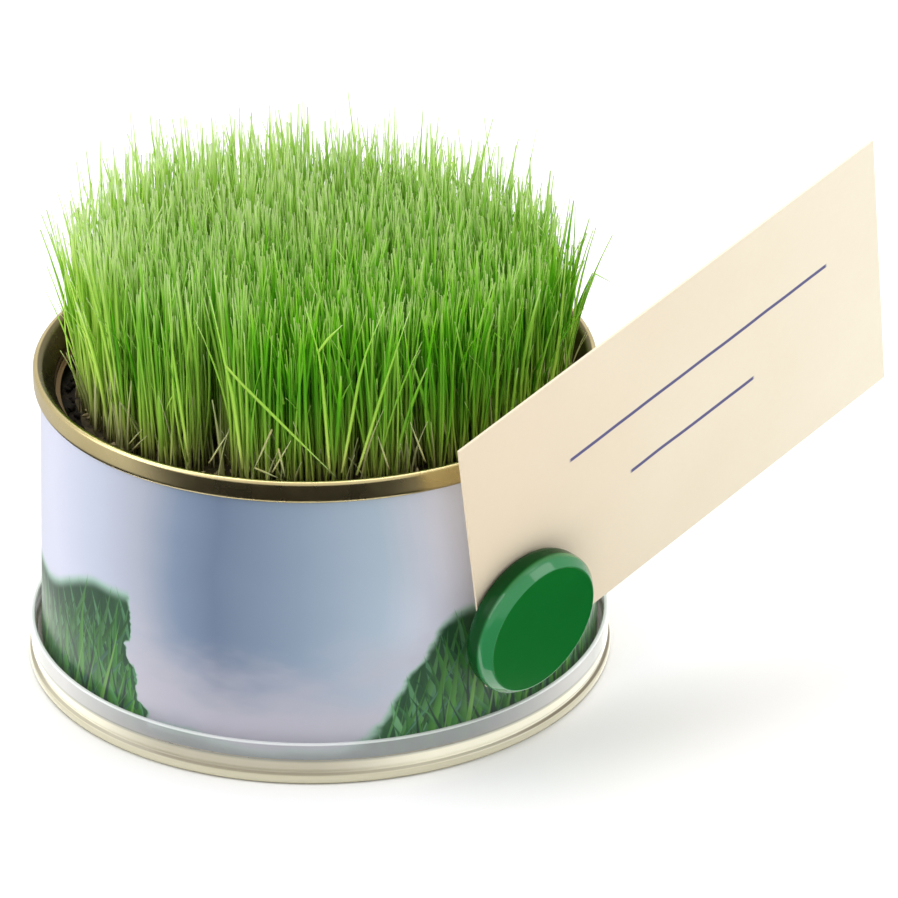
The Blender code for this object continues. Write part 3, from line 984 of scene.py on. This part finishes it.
def grow_sward(name, green, draw, widths, height_gain, tips):
    """One of the sward's two pieces: its blades' widths, extra height and where they start to taper."""
    blades = Blades()
    for i in range(BLADE_COUNT):
        root, outward, reach = sward_place(i, draw)
        tuft = clump(root)
        from_middle = (root - SWARD_OFFSET) / SWARD_RADIUS
        gain = height_gain - TALL_SIDE_GAIN * from_middle.x + tuft * 1.2 * MM
        gain += TALL_BACK_GAIN * max(-from_middle.dot(TOWARD_CAMERA), 0)
        height = draw.gauss(BLADE_HEIGHT + gain, BLADE_SPREAD)
        chance = draw.random()
        if chance < 0.22:
            height *= draw.uniform(0.55, 0.9)
        elif chance > 0.985:
            height += draw.uniform(2.0, 6.0) * MM
        height = min(height, TALLEST)
        lean = level(draw.uniform(0.0, math.tau)) * abs(draw.gauss(0.0, LEAN))
        lean += outward * EDGE_LEAN * reach ** 5 * draw.uniform(0.1, 1.0)
        facing = draw.uniform(0.0, math.tau)
        middles = grown(root, lean, height, draw.gauss(0.0, 0.8) * MM, facing)
        if draw.random() < 0.03:
            bent_down = -draw.uniform(0.8, 2.2) * MM
            middles[-1] = middles[-2] + np.array([lean.x * 0.4, lean.y * 0.4, bent_down])
        shape = blade_widths(draw.uniform(*widths) * MM, 0.62, draw.uniform(*tips))
        tone = kept(blade_tone(root, tuft, draw))
        if not bare(root):
            blades.add(middles, level(facing), shape, tone)
    as_piece(name, blades.mesh(name), green, "grass_sward")


def make_side_leaves(green):
    """Second leaves that part from a blade about half way up."""
    draw = random.Random(41)
    leaves = Blades()
    for i in range(0, BLADE_COUNT, 6):
        root, outward, reach = sward_place(i, draw)
        fork = root + outward * 1.2 * MM * reach ** 5
        fork.z += draw.uniform(0.40, 0.72) * BLADE_HEIGHT
        swing = draw.uniform(0.0, math.tau)
        away = level(swing) * draw.uniform(1.5, 4.5) * MM
        height = min(draw.uniform(4.0, 9.0) * MM, MAT_TOP + TALLEST - fork.z)
        middles = grown(fork, away, height, draw.gauss(0.0, 0.4) * MM, swing)
        shape = blade_widths(draw.uniform(0.35, 0.6) * MM, 0.7, draw.uniform(0.2, 0.5))
        tone = kept(blade_tone(root, clump(root), draw) + 0.15)
        if not bare(root):
            leaves.add(middles, level(swing + 1.3), shape, tone, 0.5)
    as_piece("side_leaves", leaves.mesh("side_leaves"), green, "grass_sward")


# Single blades, in mm: to the right of the sward's middle, and height above the floor
FALLEN_LEAF = ((-13.6, 67.3), (-12.9, 66.3), (-7.9, 61.3), (-2.8, 55.9), (2.5, 49.9))
FALLEN_LEAF_STEM = (
    (-11.4, 50.5), (-12.0, 56.2), (-12.5, 61.9), (-13.6, 67.3), (-14.6, 72.7), (-15.7, 78.3))
FRONT_LEAVES = (
    ((1.6, 50.5), (0.7, 66.8), (0.2, 70.6), (-1.6, 78.0)), ((3.4, 50.5), (6.6, 68.4), (10.1, 77.3)),
    ((5.6, 50.0), (9.7, 63.9), (13.7, 76.0)), ((-19.6, 50.4), (-21.6, 68.0), (-22.0, 75.5)))
SIDE_LEAF = ((0.2, 70.6), (1.8, 72.9), (3.8, 74.9))
FRONT_STRAWS = (
    ((-16.5, 50.3), (-13.4, 56.2)), ((-9.6, 50.8), (-6.2, 49.5)), ((-7.0, 50.2), (-4.1, 55.8)),
    ((-6.0, 54.4), (-5.1, 49.7)), ((-6.9, 57.5), (-9.8, 50.4)), ((10.4, 50.2), (8.8, 56.0)),
    ((15.8, 50.4), (13.6, 57.6)), ((-28.9, 48.8), (-26.7, 52.6)), ((-28.2, 48.4), (-26.0, 51.8)))
# Blades that lean out past the rim: compass angle, lean, height, width and tone of each
STRAYS = (
    (128.0, 6.0, 27.3, 0.55, 0.75), (141.0, 5.4, 29.3, 0.70, 0.55), (149.0, 4.4, 31.3, 0.75, 0.35),
    (134.0, 4.5, 30.2, 0.65, 0.45), (121.0, 3.9, 25.5, 0.50, 0.85), (145.0, 4.8, 24.5, 0.50, 0.90),
    (155.0, 3.6, 28.0, 0.60, 0.60), (-47.0, 7.1, 26.6, 0.55, 0.50), (-38.0, 4.6, 24.5, 0.50, 0.70))


def front_place(right, height, stand):
    """A place before the sward's front, stand millimetres clear of its roots."""
    front = math.sqrt(SWARD_RADIUS ** 2 - (right * MM) ** 2) + stand * MM
    place = SWARD_OFFSET + TO_THE_RIGHT * right * MM + TOWARD_CAMERA * front
    return (place.x, place.y, height * MM)


def make_single_blades(green):
    """The blades that show one by one: those at the front, a fallen leaf and the ones that lean out."""
    single = Blades()
    side = TO_THE_RIGHT
    leaves = [
        (FALLEN_LEAF, 0.46, 0.55, 0.35), (FALLEN_LEAF_STEM, 0.55, 0.5, 0.1),
        (SIDE_LEAF, 0.45, 0.6, 0.5)]
    leaves += [(points, 0.5, 0.42, 0.08) for points in FRONT_LEAVES]
    for points, width, tone, start in leaves:
        middles = through([front_place(right, height, 2.7) for right, height in points])
        single.add(middles, side, blade_widths(width * MM, 0.8, 0.45), tone, start)
    for angle, lean, height, width, tone in STRAYS:
        outward = level(math.radians(angle))
        root = SWARD_OFFSET + outward * (SWARD_RADIUS - 0.9 * MM)
        root.z = MAT_TOP - 0.6 * MM
        middles = grown(root, outward * lean * MM, height * MM, 0.6 * MM, math.radians(angle))
        single.add(middles, side, blade_widths(width * MM, 0.7, 0.35), tone)
    as_piece("single_blades", single.mesh("single_blades"), green, "grass_sward")


def make_straw(pale):
    """Pale dead stems: some lie across the front, and short ones stand round the foot of the sward."""
    draw = random.Random(17)
    straw = Blades()
    for ends in FRONT_STRAWS:
        middles = through([front_place(right, height, 2.4) for right, height in ends])
        straw.add(middles, TO_THE_RIGHT, blade_widths(0.32 * MM, 0.9, 0.5), 0.75)
    for _ in range(340):
        outward = level(draw.uniform(0.0, math.tau))
        root = SWARD_OFFSET + outward * SWARD_RADIUS * math.sqrt(draw.uniform(0.60, 1.0))
        root.z = MAT_TOP - 0.5 * MM
        swing = draw.uniform(0.0, math.tau)
        height = draw.uniform(5.0, 16.0) * MM
        middles = grown(root, level(swing) * draw.uniform(0.5, 4.5) * MM, height, 0.0, swing)
        straw.add(middles, level(swing + 1.1), blade_widths(draw.uniform(0.3, 0.6) * MM, 0.9, 0.5),
                  0.3 + draw.random() * 0.69)
    as_piece("straw_stems", straw.mesh("straw_stems"), pale, "grass_sward")


def make_grass():
    green = young_leaf()
    grow_sward("grass_blades", green, random.Random(11), (0.38, 0.80), 0.0, (0.55, 0.82))
    grow_sward("fine_blades", green, random.Random(12), (0.32, 0.60), -1.2 * MM, (0.50, 0.78))
    make_side_leaves(green)
    make_single_blades(green)
    make_straw(straw_stem())


def make_husks(finish):
    """Split seed husks that lie among the stems near the sward's edge."""
    draw = random.Random(23)
    bm = bmesh.new()
    for _ in range(90):
        radius = SWARD_RADIUS * math.sqrt(draw.uniform(0.72, 1.0))
        centre = SWARD_OFFSET + level(draw.uniform(0.0, math.tau)) * radius
        centre.z = MAT_TOP + draw.uniform(-0.3, 0.6) * MM
        made = bmesh.ops.create_uvsphere(bm, u_segments=8, v_segments=6, radius=1.0)["verts"]
        size = Vector((0.45, 0.38, draw.uniform(1.4, 2.4))) * MM
        angles = draw.uniform(0.4, 2.6), draw.uniform(-0.8, 0.8), draw.uniform(0.0, math.tau)
        tilt = Euler(angles).to_matrix()
        for vert in made:
            vert.co = tilt @ Vector([a * b for a, b in zip(vert.co, size)]) + centre
    modelled("seed_husks", bm, finish, "grass_sward", sharp_degrees=60)


def make_card(stock):
    """The card, flat to within a hair, in its own plane with its long side along X."""
    place = TAG_PLANE @ Matrix.Translation(CARD_EDGE_MIDDLE) @ Matrix.Rotation(CARD_TURN, 4, "Z")
    bm = bmesh.new()
    bmesh.ops.create_grid(bm, x_segments=44, y_segments=26, size=0.5)
    top = list(bm.verts)
    made = bmesh.ops.extrude_face_region(bm, geom=list(bm.faces))
    lifted = [v for v in made["geom"] if isinstance(v, bmesh.types.BMVert)]
    for vert in top + lifted:
        z = CARD_THICKNESS * 0.92 if vert in set(lifted) else 0.0
        vert.co = Vector(((vert.co.x + 0.5) * CARD_LENGTH, vert.co.y * CARD_WIDTH, z))
    modelled("cream_card", bm, stock, "card", place)


def make_magnet(plastic, core_finish):
    """The cap with its drafted side and soft shoulder. The ferrite disc keeps its solid."""
    over_card = Vector((0.0, 0.0, CARD_THICKNESS + PIECE_GAP))
    place = TAG_PLANE @ Matrix.Translation(MAGNET_CENTRE + over_card)
    hollow = MAGNET_RADIUS - MAGNET_WALL
    roof = MAGNET_THICKNESS - MAGNET_WALL
    profile = rounded([
        (0.0, MAGNET_THICKNESS - 0.09 * MM, 0.0),
        (MAGNET_RADIUS - 1.52 * MM, MAGNET_THICKNESS - 0.09 * MM, 0.05 * MM),
        (MAGNET_RADIUS - 1.42 * MM, MAGNET_THICKNESS, 0.05 * MM),
        (MAGNET_RADIUS - 1.20 * MM, MAGNET_THICKNESS, 0.12 * MM),
        (MAGNET_RADIUS - 0.15 * MM, MAGNET_THICKNESS - 1.15 * MM, 0.30 * MM),
        (MAGNET_RADIUS, MAGNET_THICKNESS - 1.9 * MM, 0.5 * MM),
        (MAGNET_RADIUS - 0.15 * MM, 1.2 * MM, 0.5 * MM),
        (MAGNET_RADIUS - 0.7 * MM, 0.0, 0.4 * MM),
        (hollow, 0.0, 0.2 * MM),
        (hollow, roof, 0.2 * MM),
        (0.0, roof, 0.0),
    ])
    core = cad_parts["magnet_core"].data
    core.materials.clear()
    core.materials.append(core_finish)
    button = turned(profile, 160, closed=False)
    modelled("magnet_button", button, plastic, "magnet_cap", place)


BOUNCE_INNER = 46.2 * MM
BOUNCE_OUTER = 58 * MM


def make_floor():
    pale = Finish("pale floor", Roughness=0.9, Specular_IOR_Level=0.1)
    faint = pale.noise(pale.place(), 3.0, 2.0)
    pale.surface("Base Color", pale.mix(faint, (0.86, 0.86, 0.86), (0.88, 0.88, 0.88)))
    bm = bmesh.new()
    bmesh.ops.create_grid(bm, x_segments=2, y_segments=2, size=4.0)
    mesh = mesh_from(bm, "floor")
    mesh.materials.append(pale.material)
    floor = in_scene("floor", mesh)
    floor.location.z = -0.02 * MM
    floor.visible_glossy = False
    make_bounce()


def make_bounce():
    """A white ring round the foot that glows, seen only in reflections."""
    white = Finish("bounce", Emission_Color=(1.0, 0.98, 0.93), Emission_Strength=0.95)
    inner, outer = Vector((BOUNCE_INNER, -0.01 * MM)), Vector((BOUNCE_OUTER, -0.01 * MM))
    ring = mesh_from(turned([inner, outer], closed=False), "bounce")
    ring.materials.append(white.material)
    bounce = in_scene("bounce", ring)
    bounce.visible_camera = False
    bounce.visible_diffuse = False
    bounce.visible_shadow = False


DARK_TURN = math.radians(-12)   # the dark part of the studio lies this far to the left of the camera


def make_world():
    """Soft light from all round, and a dark floor far from the tin, darkest toward the camera."""
    world = bpy.data.worlds.new("studio")
    bpy.context.scene.world = world
    world.use_nodes = True
    tree = Tree(world.node_tree)
    direction = tree.node("ShaderNodeTexCoord", {}, {}, "Generated")
    x, y, z = tree.axes(direction)
    dark = TOWARD_CAMERA * math.cos(DARK_TURN) + TO_THE_RIGHT * math.sin(DARK_TURN)
    toward = tree.smooth(x * dark.x + y * dark.y, 0.30, 0.66)
    below = tree.smooth(z, 0.10, -0.08)
    under = tree.smooth(z, -0.48, -0.60)
    dim = below * toward.math("MAXIMUM", under)
    background = world.node_tree.nodes["Background"]
    tree.feed(background.inputs["Strength"], 0.80 - dim * 0.785)
    background.inputs["Color"].default_value = (1.0, 1.0, 1.0, 1.0)


def viewing_side(azimuth, elevation):
    """The direction from the tin to a camera or light at these angles."""
    out = math.cos(elevation)
    return Vector((math.sin(azimuth) * out, -math.cos(azimuth) * out, math.sin(elevation)))


def softbox(name, turn, elevation, distance, size, power, colour=(1.0, 1.0, 1.0)):
    """An area light at a turn from the camera's side, to the right where it is positive."""
    back = viewing_side(CAMERA_AZIMUTH + math.radians(turn), math.radians(elevation))
    light = bpy.data.lights.new(name, "AREA")
    light.shape = "RECTANGLE"
    light.size, light.size_y = size
    light.energy = power
    light.color = colour
    lamp = in_scene(name, light)
    lamp.location = Vector((0.0, 0.0, AIM_HEIGHT)) + back * distance
    lamp.rotation_euler = back.to_track_quat("Z", "Y").to_euler()


def make_lights():
    softbox("left softbox", -80.0, 34.0, 1.1, (0.8, 0.8), 4.5)
    softbox("right softbox", 75.0, 30.0, 1.1, (0.6, 0.8), 3.2)
    softbox("top softbox", 180.0, 72.0, 1.1, (1.0, 1.0), 8.5)


def make_camera():
    back = viewing_side(CAMERA_AZIMUTH, CAMERA_ELEVATION)
    up = back.cross(TO_THE_RIGHT)
    aim = TO_THE_RIGHT * AIM_RIGHT + up * AIM_UP + Vector((0.0, 0.0, AIM_HEIGHT))
    right = TO_THE_RIGHT * math.cos(CAMERA_ROLL) + up * math.sin(CAMERA_ROLL)
    top = up * math.cos(CAMERA_ROLL) - TO_THE_RIGHT * math.sin(CAMERA_ROLL)
    data = bpy.data.cameras.new("camera")
    data.lens = CAMERA_LENS
    data.sensor_width = SENSOR_WIDTH
    data.clip_start, data.clip_end = 0.05, 50.0
    camera = in_scene("camera", data)
    turn = Matrix((right, top, back)).transposed().to_4x4()
    camera.matrix_world = Matrix.Translation(aim + back * CAMERA_DISTANCE) @ turn
    bpy.context.scene.camera = camera


def main():
    bpy.context.scene.view_settings.view_transform = "Standard"
    make_camera()
    gold = lacquered_gold()
    make_top_seam(gold)
    make_tin_wall(lacquered_wall())
    make_base_end(gold)
    make_sleeve(printed_paper())
    make_press_lid(clear_plastic())
    earth = dark_soil()
    make_potting_soil(earth)
    make_soil_crumbs(earth)
    make_seed_mat(seed_mat_fibre())
    make_grass()
    make_husks(seed_husk())
    make_card(cream_card())
    make_magnet(green_plastic(), ferrite())
    make_floor()
    make_world()
    make_lights()


main()
